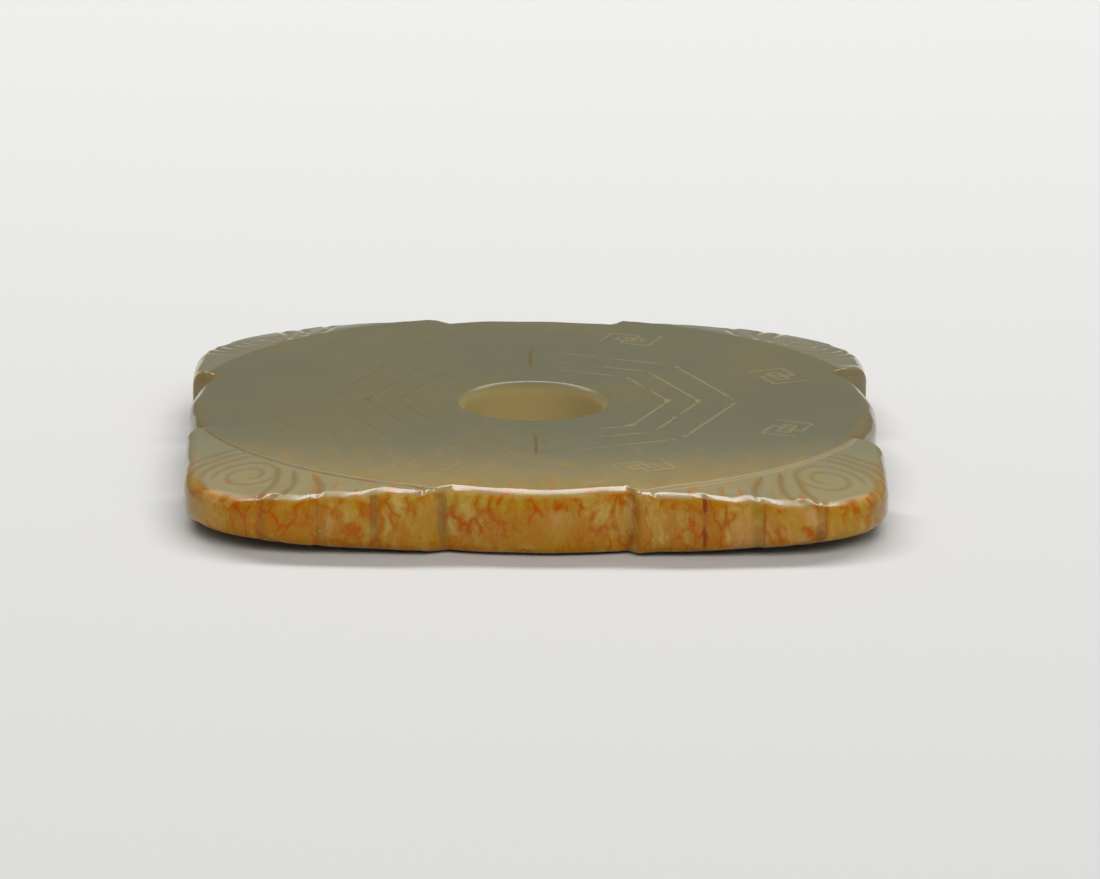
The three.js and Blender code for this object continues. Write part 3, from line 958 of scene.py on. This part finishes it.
def jadeMaterial(tone, zone, size):
    material, tree, surface, wire = startMaterial("jade")
    place = wire.node("TexCoord", out="Object")
    grown = wire.node("VectorMath", {"operation": "SCALE"}, Vector=place, Scale=1 / mm)
    axes = wire.node("SeparateXYZ", Vector=grown).socket.node.outputs
    x, y, z = [Wire(tree, socket) for socket in axes]
    ahead = 0.0 - y
    stain, cut, edge, bore = [wire.node("Attribute", {"attribute_name": name}, out="Fac")
                              for name in layerNames]

    def noise(scale, detail, vector=grown, seed=None, out="Fac"):
        if seed:
            vector = wire.maths("ADD", vector, seed, kind="VectorMath")
        return wire.node("TexNoise", Vector=vector, Scale=scale, Detail=detail, out=out)

    def warped(vector, scale, detail, amount, seed):
        drift = noise(scale, detail, vector, seed, "Color")
        shift = wire.maths("SUBTRACT", drift, (0.5, 0.5, 0.5), kind="VectorMath")
        return wire.maths("MULTIPLY_ADD", shift, (amount,) * 3, vector, kind="VectorMath")

    def stretched(vector, *scales):
        return wire.maths("MULTIPLY", vector, scales, kind="VectorMath")

    def cells(scale, vector, seed):
        moved = wire.maths("ADD", vector, seed, kind="VectorMath")
        return wire.node("TexVoronoi", {"feature": "DISTANCE_TO_EDGE"}, out="Distance",
                         Vector=moved, Scale=scale)

    def patch(name):
        begin, full, stop, end = zone[name]
        return x.within(begin, full) * (1 - x.within(stop, end))

    # The face: grey-green, warmer and speckled towards the front
    front = (x * x * 0.006 - y).within(*zone["warmFront"])
    cloud, fine = noise(0.08, 3.0), noise(1.1, 4.0)
    face = cloud.within(0.35, 0.65).blend(tone["celadon"], tone["mist"])
    face = (ahead.within(*zone["paleFront"]) * 0.1).blend(face, tone["pale"])
    onCorner = (x * x + y * y).within(*zone["corner"])
    yellow = front * (0.32 + 0.6 * noise(0.5, 3.0)) * (1 - onCorner * 0.2)
    face = yellow.limited().blend(face, tone["warm"])
    face = (onCorner * 0.27).blend(face, tone["pale"])
    long = stretched(grown, 1.0, 0.35, 1.0)
    specks = noise(1.1, 5.0, long, (8, 1, 0)).within(0.52, 0.72)
    specks = specks * ahead.within(*zone["speckledFront"])
    face = (specks * 0.45).blend(face, tone["ochre"])

    # The skin of the stone: amber clouds and orange threads that fork, over khaki and cream
    path = warped(warped(grown, 0.25, 2.0, 2.0, (0, 0, 0)), 1.4, 3.0, 1.0, (5, 1, 3))
    tall = stretched(path, 1.0, 1.0, 0.45)
    rightEnd, leftEnd = x.within(*zone["rightEnd"]) * 0.8, 1 - x.within(*zone["leftEnd"])
    ends = (rightEnd * 0.1 + leftEnd * 0.14).limited()
    rightPatch, leftPatch = patch("rightAmber"), patch("leftAmber")
    rich = noise(0.13, 2.0, seed=(4, 0, 1)) + 0.13 * patch("rightRusset")
    rich = (rich + 0.13 * patch("leftRusset")).within(0.42, 0.62)
    keep = noise(0.55, 3.0, seed=(1, 8, 2)) - ends * 0.5 + leftPatch * 0.15
    keep = keep.within(0.43, 0.57)
    net, twig = cells(0.8, tall, (4, 6, 1)), cells(2.1, tall, (9, 4, 6))
    mottle = noise(0.65, 4.0, tall, (2, 2, 2)) + (3.0 - z) * 0.025 - ends
    mottle = mottle + (leftPatch + rightPatch * 0.6) * 0.15
    skin = noise(0.2, 3.0).within(0.45, 0.6).blend(tone["khaki"], tone["cream"])
    flush = (noise(0.22, 3.0, seed=(6, 6, 6)) + ends * 0.8).within(0.56, 0.72)
    skin = flush.blend(skin, tone["blush"])
    fibres = noise(2.2, 2.0, stretched(path, 1.0, 1.0, 0.12), (7, 3, 3)).within(0.4, 0.66)
    skin = (fibres * 0.5).blend(skin, tone["amber"])
    around = (1 - net.within(0.0, 0.4)) * (0.45 + 0.55 * keep)
    cloudy = wire.maths("MAXIMUM", around, mottle.within(0.44, 0.62) * 0.8)
    skin = cloudy.limited().blend(skin, tone["amber"])
    twigs = (1 - twig.within(0.0, 0.15)) * mottle.within(0.42, 0.56) * (0.35 + 0.5 * keep)
    skin = twigs.limited().blend(skin, tone["thread"])
    threads = (1 - net.within(0.0, 0.12)) * keep
    threads = threads * (0.45 + 0.5 * noise(1.2, 3.0).within(0.35, 0.6))
    skin = threads.limited().blend(skin, tone["orange"])
    core = (1 - net.within(0.0, 0.09)) * keep * rich
    core = core * noise(0.9, 3.0, seed=(3, 3, 3)).within(0.42, 0.56)
    skin = (core * 0.8).limited().blend(skin, tone["russet"])
    broken = noise(0.8, 3.0, long, (1, 1, 9)).within(0.35, 0.65)
    wavering = x + 0.3 * (fine - 0.5)
    # The upright marks: stain, and painted shade in the flutes and notches
    for spot, width, strength, name in marks:
        off = wire.maths("ABSOLUTE", wavering - spot)
        share = (1 - off.within(0.0, width)) * (0.4 + 1.1 * broken)
        skin = (share * strength).limited().blend(skin, tone[name])
    # The ends, which turn away from the light, are painted darker and greyer: painted shade, and
    # partly their greyer tone
    sides = wire.maths("ABSOLUTE", x).within(*zone["sides"])
    skin = (sides * 0.6).blend(skin, tone["shadedEndSand"])
    leftRear = (1 - x.within(*zone["leftRear"])) * y.within(*zone["rear"])
    skin = (leftRear * 0.7).blend(skin, tone["olive"])

    # Away from the front the skin is faint, and in front it spills a little onto the face
    skinned = 0.2 + 0.8 * ahead.within(*zone["skinFront"]) + 0.6 * leftRear
    skin = skinned.blend(face, skin)
    stray = noise(0.9, 5.0, long, (2, 9, 4)).within(0.54, 0.62)
    spill = ahead.within(*zone["spillFront"]) * stray
    face = (spill * 0.64).blend(face, tone["thread"])
    colour = edge.within(*zone["edge"]).blend(face, skin)
    # Inside the hole the honey tone is partly painted light, as painted glow of the light through
    # the stone
    colour = bore.within(*zone["bore"]).blend(colour, tone["waxGlow"])
    # Dirt in the cut lines, in dark browns. On the right the lines are painted paler tan, as
    # painted light on their lit sides
    lineDirtAndLight = (onCorner * 0.7).blend(tone["soil"], tone["bark"])
    litLines = x.within(*zone["rightLitLines"]) * cut.within(0.15, 0.45)
    lineDirtAndLight = (litLines * 0.8).blend(lineDirtAndLight, tone["tan"])
    colour = (stain * (0.85 + 0.5 * fine)).limited().blend(colour, lineDirtAndLight)
    tree.links.new(colour.socket, surface.inputs["Base Color"])

    rough = size["roughness"] + size["unevenness"] * fine
    rough = rough + size["lineRoughness"] * cut + size["boreRoughness"] * bore
    tree.links.new(rough.socket, surface.inputs["Roughness"])
    bump = wire.node("Bump", Height=noise(2.2, 3.0), Strength=size["bump"],
                     Distance=size["bumpHeight"])
    tree.links.new(bump.socket, surface.inputs["Normal"])
    surface.inputs["IOR"].default_value = size["ior"]
    surface.inputs["Specular IOR Level"].default_value = size["specular"]
    surface.inputs["Subsurface Weight"].default_value = size["glow"]
    surface.inputs["Subsurface Radius"].default_value = size["glowReach"]
    surface.inputs["Subsurface Scale"].default_value = mm
    return material


print("jade")
plaque.data.materials.append(jadeMaterial(jade, zones, finish))
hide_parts("plaque")
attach(plaque, "root")

print("triangles", len(plaque.data.polygons))
